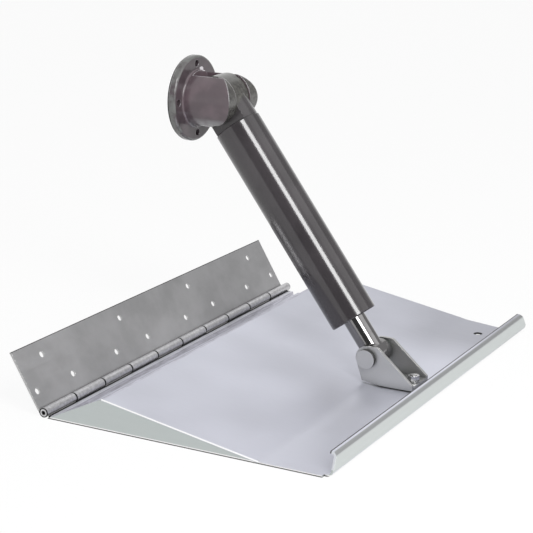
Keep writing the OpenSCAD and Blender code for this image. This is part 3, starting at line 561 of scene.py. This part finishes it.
# The softbox and these cards stand where the barrel mirrors them, at a share of its half width
softbox = {"share": 0.24, "away": 1.2, "wide": 0.36, "long": 0.8, "power": 13.3}
barrelCards = {"flagLeft": {"share": -0.55, "away": 2.4, "wide": 1.6, "long": 3.0, "tone": 1.2},
               "flagNear": {"share": -0.07, "away": 2.2, "wide": 1.9, "long": 3.0, "tone": 0.12},
               "flagRight": {"share": 0.6, "away": 2.2, "wide": 1.5, "long": 3.0, "tone": 1.45}}
plateCard = {"way": (0.811, -0.45, 0.375), "away": 2.2, "wide": 1.7, "long": 1.4, "tone": 0.5}


def turnTo(right, up, back, place):
    return Matrix(((right.x, up.x, back.x, place.x), (right.y, up.y, back.y, place.y),
                   (right.z, up.z, back.z, place.z), (0, 0, 0, 1)))


def faceTo(aim, way, along, away):
    # a place out along way that looks back at aim, with its long side parallel to along
    back = way.normalized()
    up = (along - back * along.dot(back)).normalized()
    return turnTo(up.cross(back), up, back, aim + back * away)


def rectangle(name, wide, long, height, material):
    x, y = wide / 2, long / 2
    mesh = bpy.data.meshes.new(name)
    mesh.from_pydata([(-x, -y, height), (x, -y, height), (x, y, height), (-x, y, height)], [], [(0, 1, 2, 3)])
    mesh.materials.append(material)
    return addObject(name, mesh)


def startPlain(name):
    # a material without the usual shader, and the socket for its surface
    material = bpy.data.materials.new(name)
    material.use_nodes = True
    tree = material.node_tree
    tree.nodes.remove(tree.nodes["Principled BSDF"])
    return material, Wire(tree), tree.nodes["Material Output"].inputs["Surface"]


def glowForView(wire, share):
    # 1 for what the camera and the gloss see, times share
    rays = wire.node("LightPath").out.node.outputs
    kinds = ("Is Camera Ray", "Is Glossy Ray", "Is Transmission Ray")
    direct, gloss, through = [Wire(wire.tree, rays[kind]) for kind in kinds]
    return wire.maths("MINIMUM", direct + gloss + through, 1.0) * share


def makeFloor():
    material, wire, surface = startPlain("paleFloor")
    matt = wire.node("BsdfDiffuse", {}, {"Color": grey(studio["floorTone"])})
    glow = wire.node("Emission", {}, {"Color": grey(1.0), "Strength": 1.0})
    clear = wire.node("BsdfTransparent", {}, {"Color": grey(1.0)})
    direct = wire.node("LightPath")
    white = wire.node("MixShader", {}, {0: direct, 1: glow, 2: clear})    # a tab swung low shows through
    mixed = wire.node("MixShader", {}, {0: glowForView(wire, studio["floorGlow"]), 1: matt, 2: white})
    wire.feed(surface, mixed)
    floor = rectangle("floor", studio["floorSize"], studio["floorSize"], floorHeight, material)


def makeWorld():
    world = bpy.data.worlds.new("whiteStudio")
    bpy.context.scene.world = world
    world.use_nodes = True
    wire = Wire(world.node_tree)
    background = world.node_tree.nodes["Background"]
    background.inputs["Color"].default_value = grey(1.0)
    wire.feed(background.inputs["Strength"], glowForView(wire, 1.0 - studio["ambient"]) + studio["ambient"])


def makeSoftbox(aim, way, along):
    lamp = bpy.data.lights.new("softbox", "AREA")
    lamp.shape, lamp.size, lamp.size_y = "RECTANGLE", softbox["wide"], softbox["long"]
    lamp.energy = softbox["power"]
    addObject("softbox", lamp).matrix_world = faceTo(aim, way, along, softbox["away"])


def makeCard(name, look, aim, way, along):
    # a card that shows only in gloss
    material, wire, surface = startPlain(name)
    wire.feed(surface, wire.node("Emission", {}, {"Color": grey(1.0), "Strength": look["tone"]}))
    card = rectangle(name, look["wide"], look["long"], 0, material)
    card.matrix_world = faceTo(aim, way, along, look["away"])
    card.visible_camera = card.visible_diffuse = card.visible_shadow = card.visible_transmission = False


def makeCamera():
    data = bpy.data.cameras.new("photoCamera")
    data.sensor_width = camera["sensor"]
    data.lens = camera["sensor"] * camera["focal"] / camera["frame"]
    data.clip_start, data.clip_end = camera["clip"]
    seat = addObject("photoCamera", data)
    a, e = math.radians(camera["azimuth"]), math.radians(camera["drop"])
    ahead = Vector((math.cos(e) * math.sin(a), math.cos(e) * math.cos(a), -math.sin(e)))
    right = Vector((math.cos(a), -math.sin(a), 0))
    ground = Vector((0, hingePoint.y, floorHeight))
    seat.matrix_world = turnTo(right, right.cross(ahead), -ahead, ground + Vector(camera["seat"]))
    bpy.context.scene.camera = seat
    return -ahead


makeFloor()
makeWorld()
toCamera = makeCamera()
low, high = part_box("barrel_tube")
barrelMiddle = (low + high) / 2
faceOn = (toCamera - ramAxis * toCamera.dot(ramAxis)).normalized()
across = ramAxis.cross(faceOn)     # points to the barrel's right in the picture


def mirrorWay(share):
    # the way that gloss at this share of the barrel's half width looks
    n = faceOn * math.sqrt(1 - share * share) + across * share
    return 2 * n.dot(toCamera) * n - toCamera


makeSoftbox(barrelMiddle, mirrorWay(softbox["share"]), ramAxis)
plateLow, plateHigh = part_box("tab_plate")
plateMiddle = (plateLow + plateHigh) / 2
for name, look in barrelCards.items():
    makeCard(name, look, barrelMiddle, mirrorWay(look["share"]), ramAxis)
makeCard("flagFar", plateCard, plateMiddle, Vector(plateCard["way"]), Vector((0, 0, 1)))
bpy.context.scene.view_settings.view_transform = "Standard"
print("studio and camera ready")
